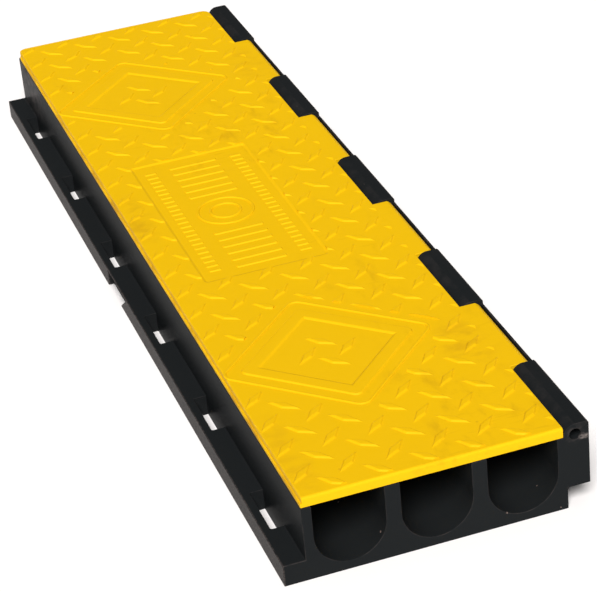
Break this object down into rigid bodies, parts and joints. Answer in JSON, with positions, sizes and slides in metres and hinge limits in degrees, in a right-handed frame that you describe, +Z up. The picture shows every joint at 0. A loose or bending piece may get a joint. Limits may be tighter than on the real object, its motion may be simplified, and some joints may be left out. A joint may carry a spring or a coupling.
{
  "type": "floor cord cover",
  "caption": "Floor cord cover: black base with round-bottomed cable channels, a slotted joining ledge, and a yellow hinged lid with a raised tread.",
  "frame": {"origin": "on the floor, in the middle of the cover's length and width", "axes": "+Y along the channels, +X towards the hinge, +Z up"},
  "size_m": [0.2488, 0.9144, 0.0747],
  "materials": {
    "black_rubber": "satin moulded",
    "yellow_rubber": "satin moulded",
    "rod": "drawn glass-fibre rod"
  },
  "bodies": {
    "base": {"base": "black_rubber", "hinge_rod": "rod"},
    "lid": {"lid": "yellow_rubber"}
  },
  "joints": [
    {"name": "lid_hinge", "type": "hinge", "parent": "base", "child": "lid", "pos_m": [0.11303, 0, 0.0654], "axis": [0, 1, 0], "range_deg": [0, 90]}
  ]
}
